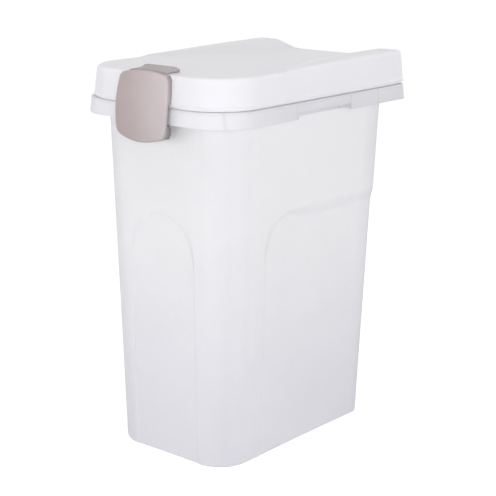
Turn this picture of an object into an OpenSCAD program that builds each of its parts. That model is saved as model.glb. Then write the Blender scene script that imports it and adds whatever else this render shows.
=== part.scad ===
// Upright storage bin with a flip lid: a tapered tub with a hanging rim skirt, a one-piece lid hinged at
// the rear, a face seal under the lid and a hook latch pinned to the lid's front edge.
// Origin: middle of the base on the floor. +Z up, the latch faces -Y, +X is the bin's right-hand side.

/* [Rim] */
// Width across the rim skirt's lower edge
rim_w = 216; // [200:0.5:240]
// Depth across the rim skirt's lower edge, front to rear
rim_d = 303.6; // [280:0.2:340]
// Height of the rim's upper face above the floor
rim_h = 380.4; // [320:0.2:450]
// Height of the skirt that hangs from the rim
skirt_h = 16.6; // [14:0.2:20]
// How much wider the skirt is at its lower edge than at its top, on each side
skirt_flare = 1.7; // [0:0.1:2.4]
// Wall thickness of the skirt
skirt_t = 1.9; // [1.5:0.1:2.5]
// Front corner radius of the skirt
rim_front_r = 45.7; // [38:0.1:52]
// Rear corner radius of the skirt
rim_rear_r = 11.5; // [8:0.5:16]
// Height of the upright lip round the mouth, above the rim
lip_h = 8.4; // [6:0.2:11]

/* [Tub] */
// How far the tub's side walls stand in from the skirt's lower edge, just under the rim
side_set = 16; // [13:0.5:20]
// The same at the front wall
front_set = 18.1; // [14:0.1:22]
// The same at the rear wall
rear_set = 24.5; // [18:0.5:30]
// How much further in each side wall stands at the floor
side_taper = 11; // [6:0.5:14]
// The same for the front wall
front_taper = 5.3; // [3:0.1:8]
// The same for the rear wall
rear_taper = 17.3; // [10:0.1:22]
// Front corner radius of the tub
front_r = 36; // [28:1:42]
// Rear corner radius of the tub
rear_r = 9; // [6:0.5:14]
// Wall thickness of the tub
wall = 2.2; // [1.6:0.1:2.8]
// Radius of the tub's lower edge
foot_r = 4; // [3:0.5:6]

/* [Hand grips] */
// Where each side grip starts, measured from the rim's middle towards the front
grip_front = 40.5; // [36:0.5:44]
// Where each side grip ends, measured from the rim's middle towards the rear
grip_rear = 45.5; // [41:0.5:50]
// How much the skirt is cut away along a grip
grip_rise = 6.4; // [4:0.2:8]

/* [Wall panels] */
// Half width of the arched panel in the front wall
arch_w = 44; // [40:0.5:46]
// Height at which the panels' sides start to curve in
spring_h = 215; // [200:1:230]
// Height of the top of the panels
panel_h = 266.5; // [255:0.5:280]
// Distance of the side panel's front edge from the rim's middle
flank_y = 69.5; // [66:0.5:74]
// Width of the side panel's curved upper corner
shoulder_w = 44; // [40:0.5:50]
// Depth of the panels at the front of the tub
panel_t = 1; // [0.6:0.1:1.4]
// Depth of the panels at the rear of the tub
panel_rear_t = 2.2; // [1.4:0.1:2.4]
// Width of the step at the edge of a panel
step_w = 1.6; // [1.2:0.1:2]
// Height of the long slope above the panel at the rear
step_rear_h = 16; // [8:1:20]

/* [Lid] */
// How far the lid's side walls stand in from the skirt's lower edge
lid_side_set = 3.5; // [2:0.1:6]
// The same at the front and rear
lid_end_set = 0.4; // [0:0.1:2]
// Gap between the lid's lower edge and the rim
lid_gap = 2.7; // [2:0.1:4]
// Height of the lid's front deck above its lower edge
deck_h = 29.9; // [27:0.1:33]
// How far the middle of the deck drops towards the rear
deck_fall = 4.9; // [3:0.1:6]
// Height of the two rear horns above the deck between them
horn_h = 9; // [6:0.1:12]
// Front corner radius of the lid
lid_front_r = 51.6; // [44:0.1:56]
// Rear corner radius of the lid
lid_rear_r = 8; // [7:0.5:12]
// How much the lid's side wall leans in over its height
lid_draft = 2.9; // [1.5:0.1:4]
// Radius of the lid's upper edge
lid_edge_r = 5; // [3:0.5:7]
// Wall thickness of the lid
lid_t = 2.2; // [1.8:0.1:2.8]
// Height of the small bead round the lid's lower edge
bead_h = 1.6; // [1.2:0.1:2.2]
// How far the bead stands out
bead_t = 0.8; // [0.4:0.1:1.2]
// How far the rest over the rim stands in from the lid's edge
rest_in = 1.8; // [1.6:0.1:2.4]
// Thickness of the rest
rest_t = 1.4; // [1:0.1:1.8]

/* [Seal] */
// Width of the seal's section
seal_w = 5; // [4:0.2:6]
// Height of the seal's section
seal_h = 5; // [4:0.2:6]

/* [Lid hinge] */
// Distance of each hinge from the middle of the bin
hinge_x = 60; // [52:1:70]
// Diameter of a hinge pin
hinge_pin_d = 4; // [3:0.5:4.5]
// Length of the lid's knuckle in each hinge
knuckle_l = 18; // [14:1:24]
// Length of each lug on the tub
lug_l = 5; // [4:0.5:7]
// Outside radius of the knuckles and lugs
knuckle_r = 4.8; // [4.2:0.1:5]

/* [Latch] */
// Width of the latch face at its widest
latch_w = 70.5; // [60:0.5:76]
// How far the latch hangs below the skirt's lower edge
latch_drop = 19; // [14:0.5:26]
// How far the latch face stands in front of the rim at its lower end
latch_lead = 11.4; // [10.4:0.1:13]
// How far the latch face leans back at its upper end
latch_lean = 7.8; // [6:0.1:8.4]
// Thickness of the latch's plate
latch_t = 2.8; // [2.2:0.1:3.2]
// Diameter of the latch pin
latch_pin_d = 2.5; // [2:0.1:2.8]
// Width of the hinge end of the latch
latch_knuckle_w = 48; // [44:1:56]
// Width of the lid's lug that carries the latch
latch_lug_w = 24; // [18:1:28]

/* [Hidden] */
$fn = 64;
// Radial clearance of a pin in the part that turns on it
run_fit = 0.05;
// Clearance between faces that pass each other
free = 0.4;

// Heights
mouth_z = rim_h - wall;
skirt_z = rim_h - skirt_h;
lip_z = rim_h + lip_h;
lid_z = rim_h + lid_gap;
deck_z = lid_z + deck_h;

// Plan outlines are [half width, front y, rear y, front corner radius, rear corner radius]
skirt_o = [rim_w / 2, -rim_d / 2, rim_d / 2, rim_front_r, rim_rear_r];
mouth_o = [rim_w / 2 - side_set, front_set - rim_d / 2, rim_d / 2 - rear_set, front_r, rear_r];
base_o = [mouth_o[0] - side_taper, mouth_o[1] + front_taper, mouth_o[2] - rear_taper, front_r, rear_r];
lid_w = rim_w - 2 * lid_side_set;
lid_d = rim_d - 2 * lid_end_set;
lid_o = [lid_w / 2, -lid_d / 2, lid_d / 2, lid_front_r, lid_rear_r];

function mix(a, b, t) = a + (b - a) * t;
function clamp(t) = min(1, max(0, t));
function ease(t) = let (c = clamp(t)) c * c * (3 - 2 * c);
function inset(o, d) = [o[0] - d, o[1] + d, o[2] - d, max(2, o[3] - d), max(1, o[4] - d)];

function sorted(v) = len(v) == 0 ? [] : concat(
    sorted([for (x = v) if (x < v[0]) x]), [v[0]], sorted([for (x = v) if (x > v[0]) x]));

// Stations round the right half of an outline, from the middle of the front to the middle of the rear.
// Those on the two long stretches stand at fixed places, so that the panels and grips keep straight edges.
front_xs = concat([for (t = [0, 0.2, 0.4, 0.58, 0.73, 0.86, 0.94]) t * arch_w],
    [arch_w - step_w / 2, arch_w + step_w / 2]);
side_last = grip_rear + 40.5;
side_ys = sorted(concat([-flank_y - step_w / 2, step_w / 2 - flank_y],
    [for (t = [0.08, 0.2, 0.36, 1]) t * shoulder_w - flank_y],
    [for (g = [grip_front, -grip_rear]) for (d = [0, step_w]) -g - sign(g) * d],
    [0, 0.53 * grip_rear, 0.5 * (grip_rear + side_last), side_last]));
corner_n = 10;
rear_n = 5;
rear_ts = [0.72, 0.36, 0];

// On an outline too small for the fixed places, the stations close up towards its middle.
function front_x(o, x) = x * min(1, (o[0] - o[3] / 2) / (arch_w + 6));
function side_y(o, y) = y * min(1, y < 0 ? (o[1] + o[3]) / (-flank_y - 8) : (o[2] - o[4]) / (side_last + 6));
function front_a(o, x) = asin(clamp((front_x(o, x) - o[0] + o[3]) / o[3]));
function corner(cx, cy, r, a) = [cx + r * sin(a), cy - r * cos(a)];
function half_outline(o) = concat(
    [for (x = front_xs) [front_x(o, x), o[1] + o[3] * (1 - cos(front_a(o, x)))]],
    [for (i = [1:corner_n])
        corner(o[0] - o[3], o[1] + o[3], o[3], mix(front_a(o, arch_w + step_w / 2), 90, i / corner_n))],
    [for (y = side_ys) [o[0], side_y(o, y)]],
    [for (i = [0:rear_n]) corner(o[0] - o[4], o[2] - o[4], o[4], 90 + 90 * i / rear_n)],
    [for (t = rear_ts) [t * (o[0] - o[4]), o[2]]]
);
// A list given for the right half of the stations, carried round the left half too
function whole(h) = concat(h, [for (i = [len(h) - 2:-1:1]) h[i]]);
half_n = len(front_xs) + corner_n + len(side_ys) + rear_n + 1 + len(rear_ts);
ring_n = 2 * half_n - 2;
function outline(o) = let (h = half_outline(o))
    concat(h, [for (i = [half_n - 2:-1:1]) [-h[i][0], h[i][1]]]);

function level(o, z) = [for (p = outline(o)) [p[0], p[1], z]];

// A closed skin over rings of equal length, closed at each end by a fan to one point
module skin(rings, first, last) {
    n = len(rings[0]);
    k = len(rings);
    polyhedron(
        points = concat([for (r = rings) for (p = r) p], [first, last]),
        faces = concat(
            [for (i = [0:n - 1]) [k * n, i, (i + 1) % n]],
            [for (r = [0:k - 2]) for (i = [0:n - 1]) let (a = r * n + i, b = r * n + (i + 1) % n)
                each [[a, a + n, b + n], [a, b + n, b]]],
            [for (i = [0:n - 1]) [k * n + 1, (k - 1) * n + (i + 1) % n, (k - 1) * n + i]]
        )
    );
}

// ---- Tub ----

// Depth, top edge and slope height of the wall panels at every station
function arch_z(x) = spring_h + (panel_h - spring_h) * sqrt(max(0, 1 - pow(x / arch_w, 2)));
function shoulder_z(y) = arch_z(arch_w * clamp(1 - (y + flank_y) / shoulder_w));
function side_t(y) = mix(panel_t, panel_rear_t, ease((y + flank_y) / (2 * shoulder_w)));
function side_step(y) = mix(step_w, step_rear_h, ease((y + flank_y) / (2 * shoulder_w)));
rear_stations = rear_n + 1 + len(rear_ts);
panel_depth = whole(concat([for (x = front_xs) x < arch_w ? panel_t : 0], [for (i = [1:corner_n]) 0],
    [for (y = side_ys) y > -flank_y ? side_t(y) : 0], [for (i = [1:rear_stations]) panel_rear_t]));
panel_top = whole(concat([for (x = front_xs) arch_z(x)], [for (i = [1:corner_n]) spring_h],
    [for (y = side_ys) shoulder_z(y)], [for (i = [1:rear_stations]) panel_h]));
panel_step = whole(concat([for (x = front_xs) step_w], [for (i = [1:corner_n]) step_w],
    [for (y = side_ys) side_step(y)], [for (i = [1:rear_stations]) step_rear_h]));

// The tub's wall from the lower edge's radius to the rim, `t` in from the outer face
function wall_rings(t, low_z, top_z) = concat(
    [for (f = [0, 0.3, 0.65, 1])
        wall_ring(t, [for (i = [0:ring_n - 1]) mix(low_z, panel_top[i] - panel_step[i], f)], 1)],
    [wall_ring(t, panel_top, 0)],
    [for (f = [0.5, 1]) wall_ring(t, [for (i = [0:ring_n - 1]) mix(panel_top[i], top_z, f)], 0)]
);
function wall_ring(t, z, sunk) = let (
    a = outline(inset(base_o, t)), b = outline(inset(base_o, t + 1)),
    c = outline(inset(mouth_o, t)), d = outline(inset(mouth_o, t + 1)))
    [for (i = [0:ring_n - 1]) let (h = z[i] / mouth_z, in = sunk * panel_depth[i],
        p = mix(mix(a[i], b[i], in), mix(c[i], d[i], in), h)) [p[0], p[1], z[i]]];
// The radius between the wall and the bottom, from the bottom's face up to the wall
function foot_rings(t, r, z0) = [for (q = [0, 30, 60])
    wall_ring(t + r * (1 - sin(q)), [for (i = [1:ring_n]) z0 + r * (1 - cos(q))], 1)];
function backwards(l) = [for (i = [len(l) - 1:-1:0]) l[i]];

// The skirt's lower edge, which rises at the two hand grips
skirt_low = whole(concat([for (i = [1:len(front_xs) + corner_n]) skirt_z],
    [for (y = side_ys) y >= -grip_front && y <= grip_rear ? skirt_z + grip_rise : skirt_z],
    [for (i = [1:rear_stations]) skirt_z]));
function skirt_ring(t, z) = let (a = outline(inset(skirt_o, skirt_flare + t)), b = outline(inset(skirt_o, t)))
    [for (i = [0:ring_n - 1]) let (p = mix(a[i], b[i], (rim_h - z[i]) / skirt_h)) [p[0], p[1], z[i]]];
function flat_z(z) = [for (i = [1:ring_n]) z];
// Radius of the rim's outer edge, and thickness of the upright lip at its upper end
rim_edge_r = 1.2;
lip_t = wall - 0.4;

module tub_shell() {
    skin(concat(
        foot_rings(0, foot_r, 0),
        wall_rings(0, foot_r, mouth_z),
        [skirt_ring(skirt_t, flat_z(mouth_z)), skirt_ring(skirt_t, skirt_low), skirt_ring(0, skirt_low)],
        [for (q = [0, 45, 90])
            skirt_ring(rim_edge_r * (1 - cos(q)), flat_z(rim_h - rim_edge_r * (1 - sin(q))))],
        [level(mouth_o, rim_h)],
        [for (d = [wall - lip_t, lip_t]) level(inset(mouth_o, d), lip_z)],
        backwards(wall_rings(wall, wall + foot_r, mouth_z)),
        backwards(foot_rings(wall, foot_r, wall))
    ), [0, 0, 0], [0, 0, wall]);
}

// ---- Lid ----

// Upper face of the lid: a deck that falls towards the rear between two horns that rise to the rear corners
deck_y = 60;
horn_foot = 42;
horn_top = 78;
function toward_rear(y) = clamp((y + deck_y) / (2.5 * deck_y));
function deck(y) = deck_z - deck_fall * pow(clamp((y + 2 * deck_y) / (lid_d / 2 + 2 * deck_y)), 2);
function crest(y) = deck_z + (horn_h - deck_fall) * clamp((y + 2 * deck_y) / (3.6 * deck_y));
function foot_x(y) = mix(lid_w / 2 - 4, horn_foot, 1 - pow(1 - toward_rear(y), 1.5));
function crest_x(y) = mix(lid_w / 2 - 2, horn_top, 1 - pow(1 - toward_rear(y), 1.5));
function top_z(x, y) = mix(deck(y), max(deck(y), crest(y)),
    ease((abs(x) - foot_x(y)) / (crest_x(y) - foot_x(y))));

top_o = inset(lid_o, lid_draft);
deck_insets = [11, 19, 27, 37, 49, 64, 80];
// A ring that lies `t` under the upper face, and `drop` lower
function top_ring(o, t, drop) = [for (p = outline(o)) [p[0], p[1], top_z(p[0], p[1]) - t - drop]];
// A ring down the side wall, at height z over the lower edge
function side_ring(z, out) = level(inset(lid_o, lid_draft * z / deck_h - out), lid_z + z);

// Channel that holds the seal over the tub's lip
seal_o = inset(mouth_o, wall / 2);
seal_fit = 0.2;
channel_t = 1.6;
channel_z = lip_z + 0.34 * seal_h;
groove_z = lip_z + seal_h + seal_fit;
function channel_ring(out, z) = level(inset(seal_o, -out), z);
groove_half = seal_w / 2 + seal_fit;
channel_half = groove_half + channel_t;
channel_top = groove_z + channel_t;
// The channel's outside and groove, from its outer foot on the deck's underside to its inner foot
function channel_rings() = [
    channel_ring(channel_t / 2, channel_top), channel_ring(channel_half, channel_top),
    channel_ring(channel_half, channel_z), channel_ring(groove_half, channel_z),
    channel_ring(groove_half, groove_z), channel_ring(-groove_half, groove_z),
    channel_ring(-groove_half, channel_z), channel_ring(-channel_half, channel_z),
    channel_ring(-channel_half, channel_top), channel_ring(-channel_t / 2, channel_top)
];

module lid_shell() {
    // The rest's lower face just clears the rim
    rest_z = rim_h + free - lid_z;
    skin(backwards(concat(
        [for (i = [len(deck_insets) - 1:-1:0]) top_ring(inset(top_o, deck_insets[i]), 0, 0)],
        [for (q = [0, 35, 65, 90])
            top_ring(inset(top_o, lid_edge_r * (1 - sin(q))), 0, lid_edge_r * (1 - cos(q)))],
        [side_ring(bead_h + bead_t, 0), side_ring(bead_h, bead_t)],
        [side_ring(0, bead_t), side_ring(0, -rest_in)],
        [side_ring(rest_z, -rest_in), side_ring(rest_z, -rest_in - rest_t)],
        [side_ring(0, -rest_in - rest_t), side_ring(bead_h, -lid_t)],
        [top_ring(inset(top_o, lid_t), lid_t, lid_edge_r - lid_t)],
        [top_ring(inset(top_o, lid_edge_r), lid_t, 0)],
        [top_ring(inset(seal_o, -channel_t / 2), lid_t, 0)],
        channel_rings(),
        [top_ring(inset(seal_o, channel_t / 2), lid_t, 0)],
        [for (i = [2:len(deck_insets) - 1]) top_ring(inset(top_o, deck_insets[i]), lid_t, 0)]
    )), [0, 0, top_z(0, 0) - lid_t], [0, 0, top_z(0, 0)]);
}

module seal_block(out, low, high) {
    skin([channel_ring(out, low), channel_ring(out, high)], [0, 0, low], [0, 0, high]);
}
module lid_seal() {
    color("whitesmoke") difference() {
        seal_block(seal_w / 2, lip_z, lip_z + seal_h);
        seal_block(-seal_w / 2, lip_z - 1, lip_z + seal_h + 1);
    }
}

// ---- Ribs and lugs of the tub ----

rib_t = 1.4;
rib_side_ys = [-grip_front - step_w - rib_t, grip_rear + step_w, grip_rear + 50];
rib_front_x = 41;
rib_rear_xs = [18, 84];
// How far a rib stops short of the skirt's lower edge
rib_rise = 0.8;
// Centre of the skirt's front corner, and how far the tub's corner reaches from it along the diagonal
corner_at = [skirt_o[0] - rim_front_r, skirt_o[1] + rim_front_r];
corner_reach = front_r + sqrt(0.5) * (mouth_o[0] - corner_at[0] - mouth_o[1] + corner_at[1] - 2 * front_r);
// A plate between the tub's wall and its skirt, drawn outward along +X from the wall's face at `near`
module rib(near, far) {
    rotate([90, 0, 0]) translate([0, 0, -rib_t / 2]) linear_extrude(rib_t)
        polygon([[near - wall / 2 - 0.4, skirt_z + rib_rise], [far - skirt_t / 2, skirt_z + rib_rise],
            [far - skirt_flare - skirt_t / 2, mouth_z + wall / 2], [near - wall / 2, mouth_z + wall / 2]]);
}
module ribs() {
    for (side = [0, 1]) mirror([side, 0, 0]) {
        for (y = rib_side_ys) translate([0, y, 0]) rib(mouth_o[0], skirt_o[0]);
        translate([rib_front_x, 0, 0]) rotate(-90) rib(-mouth_o[1], -skirt_o[1]);
        for (x = rib_rear_xs) translate([x, 0, 0]) rotate(90) rib(mouth_o[2], skirt_o[2]);
        translate(corner_at) rotate(-45) rib(corner_reach, rim_front_r);
    }
}

hinge_y = lid_d / 2 + knuckle_r + bead_t + free;
hinge_z = rim_h;
lug_x = [-knuckle_l / 2 - free - lug_l, knuckle_l / 2 + free];
// Draws a profile given in [y, z] as a slab from x to x + l
module slab(x, l) { translate([x, 0, 0]) rotate([90, 0, 90]) linear_extrude(l) children(); }
module rod(x, l, y, z, r) { translate([x, y, z]) rotate([0, 90, 0]) cylinder(h = l, r = r); }

module tub_lug(x) {
    skirt_y = rim_d / 2 - skirt_flare;
    slab(x, lug_l) polygon([[skirt_y - 0.8, hinge_z - 0.2], [hinge_y, hinge_z - 0.2],
        [hinge_y, hinge_z - knuckle_r + 0.2], [skirt_y + skirt_flare - 1, skirt_z + 1.4]]);
    rod(x, lug_l, hinge_y, hinge_z, knuckle_r);
}

module tub() {
    color("aliceblue") difference() {
        union() {
            tub_shell();
            ribs();
            for (side = [-1, 1], x = lug_x) tub_lug(side * hinge_x + x);
        }
        for (side = [-1, 1])
            rod(side * hinge_x - knuckle_l, 2 * knuckle_l, hinge_y, hinge_z, hinge_pin_d / 2);
    }
}

// ---- Knuckles of the lid and the lug that carries the latch ----

latch_y = -lid_d / 2 + 22.9;
latch_z = deck_z + 1.4;
latch_lug_r = latch_pin_d / 2 + 1.35;
latch_knuckle_r = latch_lug_r + 1.2;
// Thickening under the deck, where the latch's round end turns in a trough
pad_t = 4;
trough_r = latch_knuckle_r + free;

module lid_knuckle(x) {
    wall_y = lid_d / 2 - 1;
    slab(x, knuckle_l) polygon([[wall_y, lid_z + 0.4], [hinge_y - knuckle_r + 0.6, hinge_z + 1.5],
        [hinge_y, hinge_z], [hinge_y, hinge_z + knuckle_r - 0.1], [wall_y - 0.2, lid_z + 10]]);
    rod(x, knuckle_l, hinge_y, hinge_z, knuckle_r);
}

module lid() {
    color("white") difference() {
        union() {
            difference() {
                union() {
                    lid_shell();
                    translate([-latch_knuckle_w / 2 - 3, latch_y - 2 * pad_t, deck_z - lid_t - pad_t + 1])
                        cube([latch_knuckle_w + 6, 4 * pad_t, pad_t]);
                }
                rod(-latch_knuckle_w / 2 - free, latch_knuckle_w + 2 * free, latch_y, latch_z, trough_r);
            }
            slab(-latch_lug_w / 2, latch_lug_w) translate([latch_y - latch_lug_r, deck_z - lid_t])
                square([2 * latch_lug_r, latch_z - deck_z + lid_t]);
            rod(-latch_lug_w / 2, latch_lug_w, latch_y, latch_z, latch_lug_r);
            for (side = [-1, 1]) lid_knuckle(side * hinge_x - knuckle_l / 2);
        }
        rod(-latch_knuckle_w, 2 * latch_knuckle_w, latch_y, latch_z, latch_pin_d / 2 + run_fit);
        for (side = [-1, 1])
            rod(side * hinge_x - knuckle_l, 2 * knuckle_l, hinge_y, hinge_z, hinge_pin_d / 2 + run_fit);
    }
}

// ---- Latch ----

latch_top = deck_z + 2.8;
latch_low = skirt_z - latch_drop;
latch_h = latch_top - latch_low;
latch_front = -rim_d / 2 - latch_lead;
// Radius of the face's bulge, seen from above
latch_bulge_r = 300;
latch_round = 3;
latch_ridge = 1.6;
// Angle at which the arm's shoulders fall towards the face
arm_fall = 10;
// What is left of the round end beyond the blind end of the pin's bore
pin_cover = 2;
// The hook: an upright lip behind the skirt's lower edge
hook_y = -rim_d / 2 + skirt_t + 0.5;
hook_back = hook_y + 2.4;
hook_top = skirt_z + 2.8;
hook_w = 0.8 * latch_w;
function face_y(z) = latch_front + latch_lean * pow(clamp((z - latch_low) / latch_h), 2);
function spread(a, b, n) = [for (i = [0:n]) mix(a, b, i / n)];

// Section of the plate through its middle, in [y, z]: from the round end, over the lid's edge, down the face
module latch_section() {
    top_y = face_y(latch_top);
    // The underside clears the lid's rounded edge at the arm's sides too, where the bulge has carried it back
    edge_y = top_o[1] + lid_edge_r;
    edge_z = deck_z - lid_edge_r;
    sag = pow(latch_w / 2, 2) / (2 * latch_bulge_r);
    polygon(concat(
        [for (q = [0:15:60]) [latch_y - latch_knuckle_r * sin(q), latch_z + latch_knuckle_r * cos(q) - 0.05]],
        [[latch_y - 12, latch_top + 0.9], [top_y + 5, latch_top - 0.2], [top_y + 2.4, latch_top]],
        [for (q = [0, 30, 60])
            [top_y + latch_ridge * (1 - sin(q)) - 0.2, latch_top - latch_ridge * (1 - cos(q))]],
        [for (z = spread(latch_top - latch_round, latch_low + latch_round, 9)) [face_y(z), z]],
        [for (q = [30, 60, 90])
            [latch_front + latch_round * (1 - cos(q)), latch_low + latch_round * (1 - sin(q))]],
        [[latch_front + latch_t + 1, latch_low]],
        [for (z = spread(latch_low + 1, edge_z - lid_edge_r, 8)) [face_y(z) + latch_t, z]],
        [for (q = [90:-15:0])
            [edge_y - (lid_edge_r + free + sag) * sin(q), edge_z + (lid_edge_r + free) * cos(q)]],
        [[latch_y, deck_z + free]]
    ));
}
// Outline of the face seen from the front, in [x, z]: bowed on all four sides; a higher latch_corner
// makes its corners squarer
latch_bow_top = 4.4;
latch_bow_low = 6.4;
latch_side_r = 190;
latch_corner = 18;
// One quarter of the outline, of half width w and half height h
function quarter(w, h, bow) = concat(
    [for (s = [0, 0.25, 0.5]) corner_point(w, h, bow, s, 1)],
    [for (q = [84, 72, 60, 45, 30, 18, 6])
        corner_point(w, h, bow, pow(cos(q), 2 / latch_corner), pow(sin(q), 2 / latch_corner))],
    [for (f = [0.6, 0.4, 0.2]) corner_point(w, h, bow, 1, f)]
);
function corner_point(w, h, bow, s, f) =
    [s * (w - pow(h * f, 2) / (2 * latch_side_r)), h * f - bow * s * s * f];
// `in` draws it that much smaller all round
module latch_outline(in) {
    w = latch_w / 2 - in;
    h = latch_h / 2 - in;
    half = concat(quarter(w, h, latch_bow_top), [[w, 0]],
        [for (p = backwards(quarter(w, h, latch_bow_low))) [p[0], -p[1]]]);
    translate([0, (latch_top + latch_low) / 2]) for (side = [0, 1]) mirror([side, 0])
        polygon(concat(half, [[-1, -h], [-1, h]]));
}
// Section of the walls that stand in from the face: up to the lid, short of the rim, and under it a foot that
// reaches back to the skirt's plane
latch_foot_y = -rim_d / 2 - free;
latch_foot_z = skirt_z - 1;
module latch_wall_section() {
    split_z = lid_z + bead_h + 2 * bead_t;
    top = deck_z + free;
    lid_y = -lid_d / 2 - free;
    rim_y = latch_front + 6;
    polygon(concat(
        [for (z = spread(top, latch_low, 8)) [face_y(z) + 0.8 * latch_t, z]],
        [[latch_foot_y, latch_low], [latch_foot_y, latch_foot_z - 1.5], [latch_foot_y - 1.5, latch_foot_z]],
        [[rim_y, latch_foot_z], [rim_y, split_z]],
        [[lid_y + lid_draft * (split_z - lid_z) / deck_h, split_z], [lid_y + lid_draft, top]]
    ));
}
// The lip behind the skirt, in [y, z]
module hook_section() {
    polygon([[hook_y, latch_low + 1], [hook_back, latch_low + 1], [hook_back, hook_top - 0.8],
        [hook_back - 0.8, hook_top], [hook_y, hook_top - 1.6]]);
}
// The arm between the face and the round end: straight at the rear, flared where it meets the face,
// with shoulders that fall off to both sides and towards the front
arm_y = latch_front + 12;
module arm_space() {
    half = latch_knuckle_w / 2;
    flare = [[5.5, arm_y - 1], [5.5, arm_y], [2.2, arm_y + 3], [0.6, arm_y + 7], [0, arm_y + 11],
        [0, latch_y]];
    top = latch_z + latch_knuckle_r + 0.2;
    intersection() {
        translate([0, 0, deck_z - lid_edge_r]) linear_extrude(20)
            for (side = [0, 1]) mirror([side, 0])
                polygon(concat([[-1, latch_y], [-1, arm_y - 1]], [for (p = flare) p + [half, 0]]));
        translate([0, latch_y, top]) rotate([90 + arm_fall, 0, 0]) translate([0, 0, -5]) linear_extrude(40)
            polygon(concat([[-40, -20]], [for (x = [-36:4:36]) [x, -2.2 * pow(x / half, 4)]], [[40, -20]]));
    }
}
module latch_blank() {
    // Half the angle that the plate spans about the centre of its bulge
    half_turn = 10;
    reach = 24;
    side_t = 3;
    bulge = latch_front + latch_bulge_r;
    intersection() {
        translate([0, bulge, 0]) rotate(-90 - half_turn) rotate_extrude(angle = 2 * half_turn, $fn = 180)
            translate([bulge, 0]) mirror([1, 0]) latch_section();
        union() {
            along_y(arm_y - latch_front) latch_outline(0);
            arm_space();
        }
    }
    intersection() {
        union() {
            slab(-latch_w, 2 * latch_w) latch_wall_section();
            slab(-hook_w / 2, hook_w) translate([latch_foot_y - 1, latch_low])
                square([hook_back - latch_foot_y + 1, latch_foot_z - 1.5 - latch_low]);
        }
        along_y(reach) difference() {
            latch_outline(0);
            latch_outline(side_t);
        }
    }
    intersection() {
        slab(-hook_w / 2, hook_w) hook_section();
        along_y(reach) latch_outline(0);
    }
}
// Carries a profile given in [x, z] along Y, from behind the lid's front edge to in front of the latch
module along_y(reach) {
    translate([0, latch_front + reach, 0]) rotate([90, 0, 0]) linear_extrude(2 * reach) children();
}
// The latch's round end, turned about the pin's axis: slimmer over the last stretch, with eased rims
module round_end() {
    half = latch_knuckle_w / 2;
    taper_l = 7;
    slimmer = 1.1;
    ease_r = 0.9;
    function end_r(f) = latch_knuckle_r - slimmer * f * f;
    side = concat([for (f = [0:0.25:1]) [end_r(f), half - ease_r - taper_l * (1 - f)]],
        [[end_r(1) - 0.3 * ease_r, half - 0.3 * ease_r], [end_r(1) - ease_r, half]]);
    translate([0, latch_y, latch_z]) rotate([0, 90, 0]) rotate_extrude()
        polygon(concat([[0, -half]], [for (p = backwards(side)) [p[0], -p[1]]], side, [[0, half]]));
}
module latch() {
    // The slot that passes the lid's lug as the latch swings up
    slot_w = latch_lug_w + 2 * free;
    slot_r = latch_lug_r + free;
    reach = 2 * latch_knuckle_r;
    color([0.75, 0.69, 0.69]) difference() {
        union() {
            latch_blank();
            round_end();
        }
        rod(-slot_w / 2, slot_w, latch_y, latch_z, slot_r);
        translate([-slot_w / 2, latch_y - slot_r, latch_z - reach]) cube([slot_w, slot_r + reach, reach]);
        translate([-slot_w / 2, latch_y, latch_z - reach]) cube([slot_w, reach, reach + slot_r + 0.2]);
        rod(-latch_knuckle_w / 2 - 1, latch_knuckle_w + 1 - pin_cover, latch_y, latch_z, latch_pin_d / 2);
    }
}

// ---- Pins ----

module latch_pin() {
    color("silver")
        rod(-latch_knuckle_w / 2 + 0.5, latch_knuckle_w - 0.5 - pin_cover, latch_y, latch_z, latch_pin_d / 2);
}
module hinge_pin(side) {
    length = knuckle_l + 2 * free + 2 * lug_l;
    color("silver") rod(side * hinge_x - length / 2, length, hinge_y, hinge_z, hinge_pin_d / 2);
}
module hinge_pin_left() { hinge_pin(-1); }
module hinge_pin_right() { hinge_pin(1); }

tub();
lid();
lid_seal();
latch();
latch_pin();
hinge_pin_left();
hinge_pin_right();
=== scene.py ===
import math

import bpy
import numpy as np
from mathutils import Matrix, Vector


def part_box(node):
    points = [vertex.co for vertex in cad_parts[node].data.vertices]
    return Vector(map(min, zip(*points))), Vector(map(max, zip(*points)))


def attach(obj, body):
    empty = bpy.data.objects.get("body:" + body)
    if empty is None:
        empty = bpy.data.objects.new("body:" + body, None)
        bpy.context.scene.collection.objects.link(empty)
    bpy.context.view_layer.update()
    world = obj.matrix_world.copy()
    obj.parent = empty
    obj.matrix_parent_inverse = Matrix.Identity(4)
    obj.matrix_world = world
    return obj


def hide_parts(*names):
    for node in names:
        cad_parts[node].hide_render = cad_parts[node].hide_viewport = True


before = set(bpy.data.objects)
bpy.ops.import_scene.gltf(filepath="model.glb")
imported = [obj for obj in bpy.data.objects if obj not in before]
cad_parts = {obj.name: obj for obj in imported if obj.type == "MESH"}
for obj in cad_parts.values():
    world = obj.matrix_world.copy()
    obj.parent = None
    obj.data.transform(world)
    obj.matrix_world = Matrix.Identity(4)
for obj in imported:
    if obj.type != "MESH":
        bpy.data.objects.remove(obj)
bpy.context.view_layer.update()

# ---- Tub ----
# One injection moulding in natural polypropylene, milky and a little see-through. Arched panels are sunk in
# its walls; the rim carries a skirt that rises at two hand grips, and ribs and hinge lugs are moulded on.

tub_low, tub_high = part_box("tub")
rim_w = 2 * tub_high[0]
rim_d = -2 * tub_low[1]
wall = 0.0022
foot_r = 0.004

# The lip that the seal lies on, and the rim round it
lip_h = 0.0084
lip_z = tub_high[2]
rim_z = lip_z - lip_h
rim_edge_r = 0.0012
mouth_z = rim_z - wall

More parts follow.
